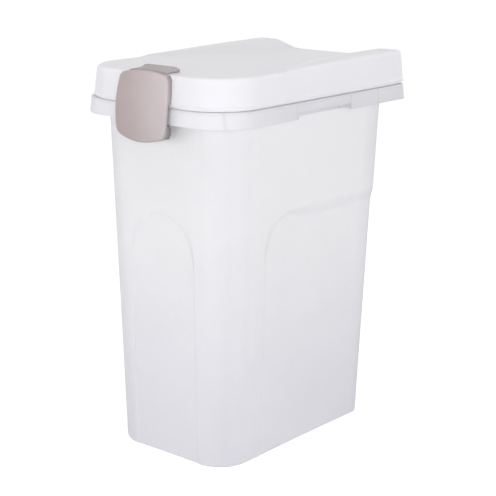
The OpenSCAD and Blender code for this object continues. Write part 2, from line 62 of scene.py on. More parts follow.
# The skirt; at the grips its lower edge rises by grip_rise over a length of grip_edge
skirt_h = 0.0166
skirt_flare = 0.0017
skirt_t = 0.0019
skirt_edge_r = 0.0007
skirt_z = rim_z - skirt_h
grip_front = 0.0405
grip_rear = 0.0455
grip_rise = 0.0064
grip_edge = 0.0016

# A plan is [half width, front y, rear y, front corner radius, rear corner radius]
skirt_plan = np.array([rim_w / 2, -rim_d / 2, rim_d / 2, 0.0457, 0.0115])
mouth_plan = np.array([rim_w / 2 - 0.016, 0.0181 - rim_d / 2, rim_d / 2 - 0.0245, 0.036, 0.009])
base_plan = mouth_plan + np.array([-0.011, 0.0053, -0.0173, 0, 0])

# Arched panels: half width of the front one, start and width of the side ones' rounded shoulder, the heights
# where the arches spring and end, then the depth and the slope of the edge at the front and at the rear
arch_w = 0.044
flank_y = 0.0695
shoulder_w = 0.044
spring_z = 0.215
arch_h = 0.0515
panel_t = 0.001
panel_rear_t = 0.0022
panel_edge = 0.0018
panel_rear_edge = 0.016
slope_lead = 0.0008

# Ribs between wall and skirt: places along the front, the rear and the sides, from the middle
rib_t = 0.0014
rib_front_x = 0.041
rib_rear_xs = [0.018, 0.084]
rib_side_ys = np.array([-grip_front - grip_edge - rib_t, grip_rear + grip_edge, grip_rear + 0.05])


def ease(t):
    """0 below 0, 1 above 1 and 3 t^2 - 2 t^3 between."""
    c = np.clip(t, 0, 1)
    return c * c * (3 - 2 * c)


def mix(a, b, t):
    """a + (b - a) t."""
    return a + (b - a) * t


def near(places, reach, count=4):
    """Stations close to each place: the place plus and minus count equal steps up to reach."""
    return (np.array(places)[:, None] + np.linspace(-reach, reach, 2 * count + 1)).ravel()


# Stations round the right half of a plan, from the middle of the front to the middle of the rear: closely
# spaced where the arches, the grips and the latch's trough have their edges
trough_edge = 0.0245
flank_start = -0.022
flank_end = grip_rear + 0.0405
bend = np.sin(np.linspace(0, math.pi / 2, 22))
front_xs = np.unique(np.round(np.concatenate([
    arch_w * bend, near([arch_w], 0.0016), near([trough_edge], 0.0004, 1)]), 5))
side_ys = np.unique(np.round(np.concatenate([
    shoulder_w * (1 - bend) - flank_y, near([-flank_y], 0.0016),
    near([-grip_front - grip_edge / 2, grip_rear + grip_edge / 2], 0.0012),
    np.linspace(flank_start, flank_end, 16)]), 5))
corner_ts = np.linspace(0, 1, 19)[1:]
rear_angles = np.linspace(0, math.pi / 2, 10)
rear_ts = np.linspace(1, 0, 9)[1:]
counts = [len(front_xs), len(corner_ts), len(side_ys), len(rear_angles) + len(rear_ts)]

# The straight lengths that these stations need: across the front, and along the sides ahead and behind
front_need = arch_w + 0.006
ahead_need = flank_y + 0.008
behind_need = flank_end + 0.006


def inset(plan, d):
    """The plan with its walls moved in by d and its radii d smaller, but at least 2 and 1 mm."""
    moved = plan + np.array([-1, 1, -1, -1, -1]) * d
    moved[3:] = np.maximum(moved[3:], [0.002, 0.001])
    return moved


def outline(plan):
    """The plan's closed outline as (stations, 2): straight walls joined by quarter circles, the left half
    being the right half's mirror image. On a plan too small for the stations they close up in proportion."""
    w, front, rear, front_r, rear_r = plan
    x = front_xs * min(1, (w - front_r / 2) / front_need)
    turn = np.arcsin(np.clip((x - w + front_r) / front_r, 0, 1))
    corner = mix(turn[-1], math.pi / 2, corner_ts)
    forward = min(1, -(front + front_r) / ahead_need)
    behind = min(1, (rear - rear_r) / behind_need)
    y = side_ys * np.where(side_ys < 0, forward, behind)
    half = np.column_stack([
        np.concatenate([x, w - front_r + front_r * np.sin(corner), np.full(len(y), w),
                        w - rear_r + rear_r * np.cos(rear_angles), (w - rear_r) * rear_ts]),
        np.concatenate([front + front_r * (1 - np.cos(turn)), front + front_r - front_r * np.cos(corner), y,
                        rear - rear_r + rear_r * np.sin(rear_angles), np.full(len(rear_ts), rear)])])
    return np.concatenate([half, half[-2:0:-1] * [-1, 1]])


def whole(parts):
    """Values given for the four stretches of the right half, carried round the left half too."""
    half = np.concatenate([np.broadcast_to(p, n) for p, n in zip(parts, counts)])
    return np.concatenate([half, half[-2:0:-1]])


def ring(xy, z):
    """Points of an outline at height z, which is one number or one per station."""
    return np.column_stack([xy, np.broadcast_to(z, len(xy))])


# How far each station lies from the middle of its arch (0) to the arch's edge (1), and the panel's figures
# there, which change along the sides from the front's to the rear's
inward = (side_ys + flank_y) / shoulder_w
rearward = ease(inward / 2)
arch_u = whole([front_xs / arch_w, 2, 1 - np.minimum(inward, 1), 0])
arch_top = spring_z + arch_h * np.sqrt(np.clip(1 - arch_u ** 2, 0, 1))
panel_depth = whole([panel_t, 0, mix(panel_t, panel_rear_t, rearward), panel_rear_t])
panel_slope = whole([panel_edge, panel_edge, mix(panel_edge, panel_rear_edge, rearward), panel_rear_edge])


def inside_arch(u, z):
    """Distance inside an arch's edge, from the share u of its half width and the height z. The edge is where
    r = hypot(u, v) is 1, v being the share of the way up the arch, 0 below spring_z. The distance is
    1 - r over the gradient of r, hypot(u / arch_w, v / arch_h) / r, or arch_w well inside, where r < 0.5,
    and slope_lead more."""
    v = np.maximum(z - spring_z, 0) / arch_h
    r = np.hypot(u, v)
    steepness = np.hypot(u / arch_w, v / arch_h)
    return np.where(r < 0.5, arch_w, (1 - r) * r / np.maximum(steepness, 1e-6)) + slope_lead


def sunk(z):
    """Depth of the panels at height z: it eases from nothing at the edge to its full value one slope width
    inside."""
    return panel_depth * ease(inside_arch(arch_u, z) / panel_slope)


def wall_ring(t, z):
    """Ring on the tapered wall, t in from its outer face: base and mouth outlines mixed by height, less the
    panels' depth there, which is a share of a 1 mm inset."""
    z = np.broadcast_to(z, len(arch_u))
    step = 0.001
    share = (sunk(z) / step)[:, None]
    low = mix(outline(inset(base_plan, t)), outline(inset(base_plan, t + step)), share)
    high = mix(outline(inset(mouth_plan, t)), outline(inset(mouth_plan, t + step)), share)
    return ring(mix(low, high, (z / mouth_z)[:, None]), z)


def wall_rings(t, low):
    """Rings from height low to the rim: even ones below the panels' edge, close ones from just under its
    slope to just over it, even ones above."""
    shares = np.concatenate([np.linspace(0, 0.92, 9), [0.96, 1]])
    under = arch_top - 1.15 * panel_slope
    over = arch_top + 0.001
    return ([wall_ring(t, mix(low, under, s)) for s in shares]
            + [wall_ring(t, mix(under, over, s)) for s in np.linspace(0, 1, 9)[1:]]
            + [wall_ring(t, mix(over, mouth_z, s)) for s in [0.1, 0.4, 0.7, 1]])


def foot_rings(t, z):
    """Quarter round between the bottom at height z and the wall: in by r (1 - sin q), up by r (1 - cos q)."""
    turns = np.radians([0, 15, 30, 45, 60, 75])
    return [wall_ring(t + foot_r * (1 - math.sin(q)), z + foot_r * (1 - math.cos(q))) for q in turns]


# The skirt's lower edge rises at the grips
gripped = (ease((side_ys + grip_front + grip_edge) / grip_edge)
           * ease((grip_rear + grip_edge - side_ys) / grip_edge))
skirt_low = whole([skirt_z, skirt_z, skirt_z + grip_rise * gripped, skirt_z])


def skirt_ring(t, z):
    """Ring on the flared skirt, t in from its outer face: its top and bottom outlines mixed by height."""
    z = np.broadcast_to(z, len(arch_u))
    top = outline(inset(skirt_plan, skirt_flare + t))
    low = outline(inset(skirt_plan, t))
    return ring(mix(top, low, ((rim_z - z) / skirt_h)[:, None]), z)


def skin(rings, first=None, last=None):
    """Faces over closed rings of equal length: each face joins two neighbours of one ring to the same two of
    the next. The end rings close to the points first and last or, without them, to each other."""
    rings = np.stack(rings)
    k, n = rings.shape[:2]
    at = np.arange(k * n).reshape(k, n)
    if first is None:
        at = np.vstack([at, at[:1]])
    this, beyond = at[:-1], at[1:]
    quads = np.stack([this, np.roll(this, -1, 1), np.roll(beyond, -1, 1), beyond], -1).reshape(-1, 4)
    if first is None:
        return rings.reshape(-1, 3), [quads]
    fan = np.column_stack([np.full(n, k * n), np.roll(at[0], -1), at[0]])
    cap = np.column_stack([np.full(n, k * n + 1), at[-1], np.roll(at[-1], -1)])
    return np.vstack([rings.reshape(-1, 3), first, last]), [quads, fan, cap]


def prism(face, along):
    """A flat outline carried along a vector: a side face for each of its edges and the outline at both ends.
    Seen against the vector, the outline runs counter-clockwise."""
    n = len(face)
    i = np.arange(n)
    sides = np.column_stack([i, np.roll(i, -1), np.roll(i, -1) + n, i + n])
    return np.vstack([face, face + np.array(along)]), [sides, i[None, ::-1], i[None] + n]


def arc(centre, r, turns):
    """Points [y, z] on a circle."""
    return np.array(centre) + r * np.column_stack([np.cos(turns), np.sin(turns)])


def at_x(x, yz):
    """Points [y, z] placed at x."""
    return np.column_stack([np.full(len(yz), x), yz])


def drilled(centre, eye_r, eye_turns, web, web_degrees, hole_r, x, length):
    """A plate with a round hole, carried along X. Its outline is an arc round the hole and the web's points,
    and each of its points is joined across both faces to the hole's at its turn."""
    hole = arc(centre, hole_r, np.append(eye_turns, np.radians(web_degrees)))
    outer = np.vstack([arc(centre, eye_r, eye_turns), web])
    return skin([at_x(x, hole), at_x(x, outer), at_x(x + length, outer), at_x(x + length, hole)])


def piece(name, skins, sharp=35):
    """One mesh object from skins of (points, face arrays), smooth except along edges sharper than `sharp`."""
    starts = np.cumsum([0] + [len(points) for points, _ in skins[:-1]])
    faces = [f + start for (_, groups), start in zip(skins, starts) for f in groups]
    sizes = np.concatenate([np.full(len(f), f.shape[1]) for f in faces])
    corners = np.concatenate([f.ravel() for f in faces])
    points = np.concatenate([p for p, _ in skins])
    mesh = bpy.data.meshes.new(name)
    mesh.vertices.add(len(points))
    mesh.vertices.foreach_set("co", points.ravel())
    mesh.loops.add(len(corners))
    mesh.loops.foreach_set("vertex_index", corners)
    mesh.polygons.add(len(sizes))
    mesh.polygons.foreach_set("loop_start", np.cumsum(sizes) - sizes)
    mesh.polygons.foreach_set("use_smooth", np.ones(len(sizes), bool))
    mesh.update(calc_edges=True)
    mesh.validate()
    mesh.set_sharp_from_angle(angle=math.radians(sharp))
    obj = bpy.data.objects.new(name, mesh)
    bpy.context.collection.objects.link(obj)
    return obj


# The lip's rounded top: how far each ring stands in from the mouth's outline, and how far below the top
lip_round = [(0.0004, 0.0005), (0.0007, 0.0001), (0.0011, 0), (0.0015, 0.0001), (0.0018, 0.0005)]
quarter = np.radians([0, 22.5, 45, 67.5, 90])
tub_shell = skin(
    foot_rings(0, 0)
    + wall_rings(0, foot_r)
    + [skirt_ring(skirt_t, mouth_z), skirt_ring(skirt_t, skirt_low + skirt_edge_r)]
    + [skirt_ring(skirt_t - skirt_edge_r * (1 - math.cos(q)), skirt_low + skirt_edge_r * (1 - math.sin(q)))
       for q in quarter[1:]]
    + [skirt_ring(skirt_edge_r * (1 - math.sin(q)), skirt_low + skirt_edge_r * (1 - math.cos(q)))
       for q in quarter]
    + [skirt_ring(rim_edge_r * (1 - math.cos(q)), rim_z - rim_edge_r * (1 - math.sin(q))) for q in quarter]
    + [ring(outline(mouth_plan), rim_z)]
    + [ring(outline(inset(mouth_plan, d)), lip_z - h) for d, h in lip_round]
    + wall_rings(wall, wall + foot_r)[::-1]
    + foot_rings(wall, wall)[::-1],
    [0, 0, 0], [0, 0, wall])

# The front corners' centre, and from it how far off the mouth's outline is along the diagonal
diagonal = math.sqrt(0.5)
corner_x = skirt_plan[0] - skirt_plan[3]
corner_y = skirt_plan[1] + skirt_plan[3]
corner_reach = mouth_plan[3] + diagonal * (
    mouth_plan[0] - corner_x - mouth_plan[1] + corner_y - 2 * mouth_plan[3])


def rib(at, direction, start, end):
    """A plate rib_t thick, standing across the gap from distance start to distance end in one direction. It
    ends inside the wall, which has tapered in by its foot, and inside the skirt and the rim."""
    out = np.array([*direction, 0])
    across = np.array([-direction[1], direction[0], 0])
    low = skirt_z + 0.0008
    high = mouth_z + wall / 2
    taper = 0.0015
    profile = [(start - taper, low), (end - skirt_t / 2, low),
               (end - skirt_flare - skirt_t / 2, high), (start - wall / 2, high)]
    face = np.array([np.array([*at, 0]) + out * r + [0, 0, z] for r, z in profile])
    return prism(face + across * rib_t / 2, -across * rib_t)


ribs = []
for side in (-1, 1):
    ribs += [rib((0, y), (side, 0), mouth_plan[0], skirt_plan[0]) for y in rib_side_ys]
    ribs += [rib((side * x, 0), (0, 1), mouth_plan[2], skirt_plan[2]) for x in rib_rear_xs]
    ribs += [rib((side * rib_front_x, 0), (0, -1), -mouth_plan[1], -skirt_plan[1]),
             rib((side * corner_x, corner_y), (side * diagonal, -diagonal), corner_reach, skirt_plan[3])]


def pin(box):
    """Centre and radius of a pin along X, from its box."""
    low, high = np.array(box)
    return *(low + high) / 2, (high[2] - low[2]) / 2


# Lugs behind the skirt, two to each hinge: a round eye on a web that comes from the skirt. `free` is the gap
# between parts that move past each other
hinge_x, hinge_y, hinge_z, hinge_pin_r = pin(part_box("hinge_pin_right"))
knuckle_r = tub_high[1] - hinge_y
knuckle_l = 0.018
lug_l = 0.005
free = 0.0004
skirt_back = rim_d / 2 - skirt_flare
lug_eye = np.radians(np.linspace(-90, 180, 40))
lug_web = [[skirt_back - 0.0008, hinge_z - 0.0002], [skirt_back + skirt_flare - 0.001, skirt_z + 0.0014]]
lugs = [drilled((hinge_y, hinge_z), knuckle_r, lug_eye, lug_web, [200, 240], hinge_pin_r,
                side * hinge_x + x, lug_l)
        for side in (-1, 1) for x in (-knuckle_l / 2 - free - lug_l, knuckle_l / 2 + free)]

tub = piece("tub_moulding", [tub_shell] + ribs + lugs)


def mark(obj, name, value):
    """Gives each of the object's points the number value(x, y, z), for its material to read."""
    points = np.empty(3 * len(obj.data.vertices))
    obj.data.vertices.foreach_get("co", points)
    attribute = obj.data.attributes.new(name, "FLOAT", "POINT")
    attribute.data.foreach_set("value", value(*points.reshape(-1, 3).T))


def slope_share(x, y, z):
    """4 s (1 - s), where s is a point's way down a panel's slope: 0 off the slopes, 1 halfway down, half as
    much on the wide slopes at the rear, and fading to 0 over the tub's lowest 120 mm."""
    across = (y + flank_y) / shoulder_w
    at_front = y < corner_y
    rear = np.where(at_front, 0, ease(across / 2))
    u = np.where(at_front, np.abs(x) / arch_w, 1 - np.minimum(across, 1))
    s = np.clip(inside_arch(u, z) / mix(panel_edge, panel_rear_edge, rear), 0, 1)
    return 4 * s * (1 - s) * (1 - 0.5 * rear) * np.clip(z / 0.12, 0, 1)


mark(tub, "slope_share", slope_share)


def linear(code):
    """An sRGB hex code as linear RGB and alpha 1: c / 12.92 up to 0.04045, else
    ((c + 0.055) / 1.055) ^ 2.4."""
    c = [int(code[i:i + 2], 16) / 255 for i in (1, 3, 5)]
    return [v / 12.92 if v <= 0.04045 else ((v + 0.055) / 1.055) ** 2.4 for v in c] + [1.0]


def add(tree, kind, inputs=None, **settings):
    """Adds a node: inputs are {socket: value or (node, output)}, settings are the node's own properties."""
    node = tree.nodes.new("ShaderNode" + kind)
    for key, value in settings.items():
        setattr(node, key, value)
    for key, value in (inputs or {}).items():
        if isinstance(value, tuple):
            tree.links.new(value[0].outputs[value[1]], node.inputs[key])
        else:
            node.inputs[key].default_value = value
    return node


def ramp(tree, value, start, end, low=0.0, high=1.0, smooth=False):
    """Runs evenly, or eased, from low at the value start to high at the value end, and is level beyond."""
    return add(tree, "MapRange", {
        "Value": value, "From Min": start, "From Max": end, "To Min": low, "To Max": high},
        interpolation_type="SMOOTHSTEP" if smooth else "LINEAR"), 0


def reckon(tree, operation, *values):
    """The result of one operation on one to three values."""
    return add(tree, "Math", dict(enumerate(values)), operation=operation), 0


def either(tree, share, first, second):
    """The first number where the share is 0, the second where it is 1."""
    return add(tree, "Mix", {0: share, 2: first, 3: second}, data_type="FLOAT"), 0


def tint(tree, share, first, second):
    """The first colour where the share is 0, the second where it is 1."""
    return add(tree, "Mix", {0: share, 6: linear(first), 7: linear(second)}, data_type="RGBA"), 2


def noise(tree, place, size, detail, roughness=0.5):
    """Clouds of a given size in metres."""
    return add(tree, "TexNoise", {
        "Vector": place, "Scale": 1 / size, "Detail": detail, "Roughness": roughness}), 0


def axes(tree, place):
    """The three coordinates of a place."""
    split = add(tree, "SeparateXYZ", {0: place})
    return [(split, axis) for axis in "XYZ"]


def dimmed(tree, colour, share, factors):
    """The colour dimmed by the product of a share and several factors."""
    for factor in factors:
        share = reckon(tree, "MULTIPLY", share, factor)
    return add(tree, "VectorMath", {0: colour, "Scale": share}, operation="SCALE"), 0


def moulded(tree, place, grain, waves, gloss):
    """The normal and the roughness of a moulded skin, as inputs of its surface. The tool's grain and the
    wall's waves are given as (size, strength, height); the roughness follows the grain."""
    fine = noise(tree, place, grain[0], 2.0)
    slow = noise(tree, place, waves[0], 1.0)
    bump = add(tree, "Bump", {"Strength": grain[1], "Distance": grain[2], "Height": fine}), 0
    both = add(tree, "Bump", {"Strength": waves[1], "Distance": waves[2], "Height": slow, "Normal": bump}), 0
    return {"Normal": both, "Roughness": ramp(tree, fine, 0, 1, *gloss)}


def surface(tree, inputs):
    """Gives the material a principled surface with these inputs."""
    add(tree, "OutputMaterial", {"Surface": (add(tree, "BsdfPrincipled", inputs), 0)})


def blank(name):
    """A new material and its empty node tree."""
    material = bpy.data.materials.new(name)
    material.use_nodes = True
    material.node_tree.nodes.clear()
    return material, material.node_tree


# Natural polypropylene, injection moulded against a finely eroded tool: light enters the wall and spreads, so
# edges look soft, and the surface is satin with a slight grain. Its colour carries painted shade towards the
# base, down the panels' slopes, round the corners, on the skirt and under the lid
pp_natural, t = blank("natural polypropylene, moulded satin")
place = (add(t, "TexCoord"), "Object")
px, py, pz = axes(t, place)
# Painted shade: the colour darkens towards the base
height = ramp(t, pz, -0.06, 0.31, smooth=True)
body = tint(t, height, "#e6e5ec", "#f8f7fc")
# Melt flow leaves faint clouds about 60 mm across
cloudy = ramp(t, noise(t, place, 0.06, 3.0, 0.55), 0.3, 0.7, 0.985, 1.01)
# Painted shade: the skirt is darkened as if by the shaded hollow behind it, more towards the sides and the
# rear
skirt = ramp(t, pz, skirt_z - 0.001, skirt_z)
behind = ramp(t, py, -0.19, -0.05, 0.945, 0.81, smooth=True)
painted_skirt_shade = either(t, skirt, 1.0, behind)
# Painted shade: the ribs across the gap are darkened onto the skirt as dull lines 2 mm wide; their distance
# is the least of all
apart = 1.0
for where in [float(y) for y in rib_side_ys] + [corner_y - skirt_plan[3] * diagonal]:
    off = reckon(t, "ABSOLUTE", reckon(t, "SUBTRACT", py, where))
    apart = reckon(t, "MINIMUM", apart, off)
painted_rib_shade = either(t, skirt, 1.0, ramp(t, apart, 0.0006, 0.0018, 0.94))
# Painted shadow: the lid darkens the skirt's last 4 mm under it
dust_and_lid_shade = ramp(t, pz, rim_z - 0.004, rim_z - 0.0003, 1.0, 0.93)
above = ramp(t, pz, rim_z - 0.0002, rim_z)
painted_lid_shadow = either(t, above, dust_and_lid_shade, 1.0)
# Painted shade: the colour darkens down the slopes of the panels
slope = (add(t, "Attribute", attribute_name="slope_share"), "Fac")
painted_slope_shade = ramp(t, slope, 0, 1, 1.0, 0.91)
# Painted shade: so is the wall below the skirt round the front corners and towards the rear ones
turning = ramp(t, reckon(t, "ABSOLUTE", px), 0.04, 0.085, smooth=True)
forward = ramp(t, py, -0.09, -0.118)
front_corner = reckon(t, "MULTIPLY", turning, forward)
rear_corner = ramp(t, py, 0.085, 0.125, 0.0, 1.3, smooth=True)
corner = reckon(t, "MAXIMUM", front_corner, rear_corner)
corner_shade = reckon(t, "MULTIPLY_ADD", corner, -0.09, 1.0)
painted_corner_shade = either(t, skirt, corner_shade, 1.0)
# All of these shares dim the colour
pp_colour = dimmed(t, body, cloudy, [painted_slope_shade, painted_corner_shade, painted_skirt_shade, painted_rib_shade, painted_lid_shadow])
# The eroded grain is about 0.2 mm, drawn at 0.9 mm so that it shows at all; the slow waves are the wall's own
surface(t, {"Base Color": pp_colour, "IOR": 1.49, "Specular IOR Level": 0.2,
            **moulded(t, place, (0.0009, 0.25, 0.00004), (0.035, 0.35, 0.0004), (0.34, 0.46)),
            "Subsurface Weight": 0.4, "Subsurface Radius": [1.0, 1.0, 1.1], "Subsurface Scale": 0.002})

tub.data.materials.append(pp_natural)
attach(tub, "tub body")
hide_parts("tub")

# ---- Hinge pins ----
# Two lengths of drawn steel wire, pressed through the tub's lugs; the lid's knuckles turn on them. Their
# shape is the CAD's own.

# Drawn steel wire: bright, with fine lines along its length that stretch the highlight
pin_steel, t = blank("steel wire, drawn")
# Die lines about 0.05 mm apart, drawn at 0.25 mm, and some 20 mm long
line_gap = 0.00025
line_l = 0.02
place = (add(t, "TexCoord"), "Object")
along = add(t, "Mapping", {"Vector": place, "Scale": [line_gap / line_l, 1.0, 1.0]})
lines = noise(t, (along, 0), line_gap, 2.0)
dull = ramp(t, lines, 0, 1, 0.22, 0.42)
tone = tint(t, lines, "#b4b4b8", "#d2d2d4")
drawn = add(t, "Bump", {"Strength": 0.3, "Distance": 0.00003, "Height": lines})
surface(t, {"Base Color": tone, "Metallic": 1.0, "Roughness": dull, "Normal": (drawn, 0)})
for node in ("hinge_pin_left", "hinge_pin_right"):
    for material_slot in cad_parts[node].material_slots:
        material_slot.material = pin_steel

# ---- Lid ----
# One injection moulding in white polypropylene: a deck that falls between two raised rear corners, a wall
# with a bead at its edge, and inside it a rest over the rim, the seal's channel and the hinge knuckles.

lid_side_set = 0.0035
lid_end_set = 0.0004
lid_w = rim_w - 2 * lid_side_set
lid_d = rim_d - 2 * lid_end_set
lid_plan = np.array([lid_w / 2, -lid_d / 2, lid_d / 2, 0.0516, 0.008])
lid_gap = 0.0027
lid_z = rim_z + lid_gap
deck_h = 0.0299
deck_z = lid_z + deck_h
lid_draft = 0.0029
lid_edge_r = 0.005
lid_t = 0.0022
top_plan = inset(lid_plan, lid_draft)

# The bead along the lid's edge: its height, how far it stands out and its rounding
bead_h = 0.0016
bead_t = 0.0008
bead_r = 0.0005

# The rest under the lid's wall: how far it stands in from the lid's edge, its thickness, and its lower and
# upper end measured from that edge
rest_in = 0.0018
rest_t = 0.0014
rest_z = rim_z + free - lid_z
rest_top = 0.0016

# Deck and horns: how far the deck falls and the horns rise at the rear, where both start, and where the
# horns' foot and crest lie, at first as distances from the side and at the rear from the middle
deck_fall = 0.0049
horn_h = 0.009
deck_y = 0.06
horn_foot_in = 0.004
horn_top_in = 0.002
horn_foot = 0.042
horn_top = 0.078

# The latch turns in a trough across the deck, on a lug of the lid
_, latch_y, latch_z, latch_pin_r = pin(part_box("latch_pin"))
latch_lug_r = latch_pin_r + 0.00135
latch_lug_w = 0.024
latch_end_r = latch_lug_r + 0.00118
latch_end_w = 0.048
trough_r = latch_end_r + free
trough_w = latch_end_w + 2 * free


def deck(y):
    """Height of the deck's middle: deck_z less deck_fall times the square of the share of the way back."""
    return deck_z - deck_fall * np.clip((y + 2 * deck_y) / (lid_d / 2 + 2 * deck_y), 0, 1) ** 2


def crest(y):
    """Height of the horns: it rises evenly over 3.6 deck_y towards the rear."""
    return deck_z + (horn_h - deck_fall) * np.clip((y + 2 * deck_y) / (3.6 * deck_y), 0, 1)


def lid_top(x, y):
    """Height of the lid's upper face: from the deck at the horns' foot it eases up to their crest. Foot and
    crest run in from the side wall by 1 - (1 - share of the way back) ^ 1.5, over 2.5 deck_y."""
    back = 1 - (1 - np.clip((y + deck_y) / (2.5 * deck_y), 0, 1)) ** 1.5
    foot = mix(lid_w / 2 - horn_foot_in, horn_foot, back)
    top = mix(lid_w / 2 - horn_top_in, horn_top, back)
    rise = ease((np.abs(x) - foot) / (top - foot))
    return mix(deck(y), np.maximum(deck(y), crest(y)), rise)


def trough(x, y):
    """Depth of the trough: the circle of radius trough_r about the latch's axis, where it is under the
    deck."""
    across = np.clip(trough_r ** 2 - (y - latch_y) ** 2, 0, None)
    depth = np.sqrt(across) - (latch_z - deck_z)
    return np.maximum(depth, 0) * (np.abs(x) < trough_w / 2 + 0.0001)


def top_ring(d, drop, under=0):
    """Ring on the lid's upper face, its outline moved in by d and lowered by drop, or on its underside when
    under is the lid's thickness. The trough is only in the upper face."""
    xy = outline(inset(top_plan, d))
    z = lid_top(xy[:, 0], xy[:, 1]) - drop - under
    return ring(xy, z if under else z - trough(xy[:, 0], xy[:, 1]))


def side_ring(z, out):
    """Ring on the lid's wall at height z above its edge, standing out by `out`; the wall leans in with
    height."""
    return ring(outline(inset(lid_plan, lid_draft * z / deck_h - out)), lid_z + z)


# Channel of the seal over the tub's lip
seal_w = 0.005
seal_h = 0.005
seal_fit = 0.0002
channel_t = 0.0016
seal_plan = inset(mouth_plan, wall / 2)
channel_z = lip_z + 0.34 * seal_h
groove_z = lip_z + seal_h + seal_fit
channel_top = groove_z + channel_t
groove = seal_w / 2 + seal_fit


def channel_ring(out, z):
    """Ring of the channel, `out` from the middle of the lip's outline."""
    return ring(outline(inset(seal_plan, -out)), z)


channel_side = groove + channel_t
channel = [(-channel_t / 2, channel_top), (-channel_side, channel_top), (-channel_side, channel_z),
           (-groove, channel_z), (-groove, groove_z), (groove, groove_z), (groove, channel_z),
           (channel_side, channel_z), (channel_side, channel_top), (channel_t / 2, channel_top)]


def seal_deck_ring(out):
    """Ring on the deck's underside over the channel."""
    xy = outline(inset(seal_plan, -out))
    return ring(xy, lid_top(xy[:, 0], xy[:, 1]) - lid_t)


# Distances of the rings from the lid's edge, close together over the trough
deck_steps = np.concatenate([np.linspace(0.0062, 0.0142, 6), np.linspace(0.015, 0.025, 21),
                             np.linspace(0.027, 0.062, 18), np.linspace(0.066, 0.094, 8)])
inside_steps = [d for d in deck_steps[::-3] if d > 0.026]
side_zs = [0.008, 0.014, 0.02]
round_steps = np.radians(np.linspace(0, 90, 9))
inner_r = lid_edge_r - lid_t
lid_shell = skin(
    [top_ring(d, 0, lid_t) for d in inside_steps]
    + [seal_deck_ring(-channel_t / 2)]
    + [channel_ring(out, z) for out, z in channel]
    + [seal_deck_ring(channel_t / 2), top_ring(lid_edge_r, 0, lid_t)]
    + [top_ring(lid_t + inner_r * (1 - math.sin(q)), inner_r * (1 - math.cos(q)), lid_t) for q in quarter[1:]]
    + [side_ring(rest_top, -lid_t), side_ring(0, -rest_in - rest_t), side_ring(rest_z, -rest_in - rest_t),
       side_ring(rest_z, -rest_in), side_ring(0, -rest_in), side_ring(0, bead_t - bead_r)]
    + [side_ring(bead_r * (1 - math.cos(q)), bead_t - bead_r * (1 - math.sin(q))) for q in quarter]
    + [side_ring(bead_h, bead_t), side_ring(bead_h + bead_t / 2, bead_t / 3),
       side_ring(bead_h + bead_t, 0.0001), side_ring(bead_h + 1.6 * bead_t, 0)]
    + [side_ring(z, 0) for z in side_zs]
    + [top_ring(lid_edge_r * (1 - math.sin(q)), lid_edge_r * (1 - math.cos(q))) for q in round_steps[::-1]]
    + [top_ring(d, 0) for d in deck_steps],
    [0, 0, lid_top(0, 0) - lid_t], [0, 0, lid_top(0, 0)])

# Pad under the trough, hollow where the trough runs: its heights are measured down from the deck
pad_w = latch_end_w + 0.006
pad_y = 0.008
pad_top = deck_z - 0.0021
pad_low = deck_z - 0.0052
pad_turns = np.radians(np.linspace(-56, -124, 12))
pad_yz = np.vstack([
    [[latch_y - pad_y, pad_top], [latch_y - pad_y, pad_low], [latch_y + pad_y, pad_low],
     [latch_y + pad_y, pad_top]],
    arc((latch_y, latch_z), trough_r + 0.0001, pad_turns)])
pad = prism(at_x(-pad_w / 2, pad_yz), [pad_w, 0, 0])

# The lug that carries the latch: a domed plate with the pin's hole. `run_fit` is the gap round a turning pin
run_fit = 0.00005
dome = np.radians(np.linspace(0, 180, 33))
latch_lug_foot = [[latch_y - latch_lug_r, deck_z - lid_t], [latch_y + latch_lug_r, deck_z - lid_t]]
latch_lug = drilled((latch_y, latch_z), latch_lug_r, dome, latch_lug_foot, [225, 315],
                    latch_pin_r + run_fit, -latch_lug_w / 2, latch_lug_w)

# Knuckles: an eye on the hinge pin and a web up to the lid's rear wall
web_y = lid_d / 2 - 0.001
knuckle_web = [[web_y - 0.0002, lid_z + 0.01], [web_y, lid_z + 0.0004]]
knuckle_eye = np.radians(np.linspace(160, 450, 40))
knuckles = [drilled((hinge_y, hinge_z), knuckle_r, knuckle_eye, knuckle_web, [480, 500],
                    hinge_pin_r + run_fit, side * hinge_x - knuckle_l / 2, knuckle_l) for side in (-1, 1)]

lid = piece("lid_moulding", [lid_shell, pad, latch_lug] + knuckles)

# White polypropylene, injection moulded in a smoother tool: filled with white, so little light goes in, with
# a semi-gloss skin that shows the slow waves of a cooled sheet
pp_white, t = blank("white polypropylene, moulded semi-gloss")
place = (add(t, "TexCoord"), "Object")
# Flow clouds about 80 mm across
lid_colour = tint(t, noise(t, place, 0.08, 2.0), "#f0eff3", "#f4f3f8")
# Polishing grain of the tool, 0.15 mm, drawn at 0.8 mm
surface(t, {"Base Color": lid_colour, "IOR": 1.49, "Specular IOR Level": 0.25,
            **moulded(t, place, (0.0008, 0.15, 0.00003), (0.03, 0.3, 0.0003), (0.24, 0.36)),
            "Subsurface Weight": 0.2, "Subsurface Radius": [1.0, 1.0, 1.0], "Subsurface Scale": 0.002})
lid.data.materials.append(pp_white)
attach(lid, "lid body")
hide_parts("lid")

# ---- Lid seal ----
# A soft silicone ring pushed into the lid's channel; its lower face lies on the tub's lip.

seal_angles = np.radians(np.arange(0, 360, 15))


def seal_section(turn):
    """Point of the rounded square section at an angle: the radius 1 / (|cos|^6 + |sin|^6)^(1/6)."""
    reach = (np.abs(np.cos(turn)) ** 6 + np.abs(np.sin(turn)) ** 6) ** (-1 / 6)
    return seal_w / 2 * reach * np.cos(turn), seal_h / 2 * reach * np.sin(turn)


seal = piece("lid_seal_ring", [skin([
    channel_ring(out, lip_z + seal_h / 2 + up)
    for out, up in (seal_section(turn) for turn in seal_angles)])], 60)

# Silicone, compression moulded: soft translucent white with a dull, slightly dusty skin
silicone, t = blank("silicone, moulded soft")
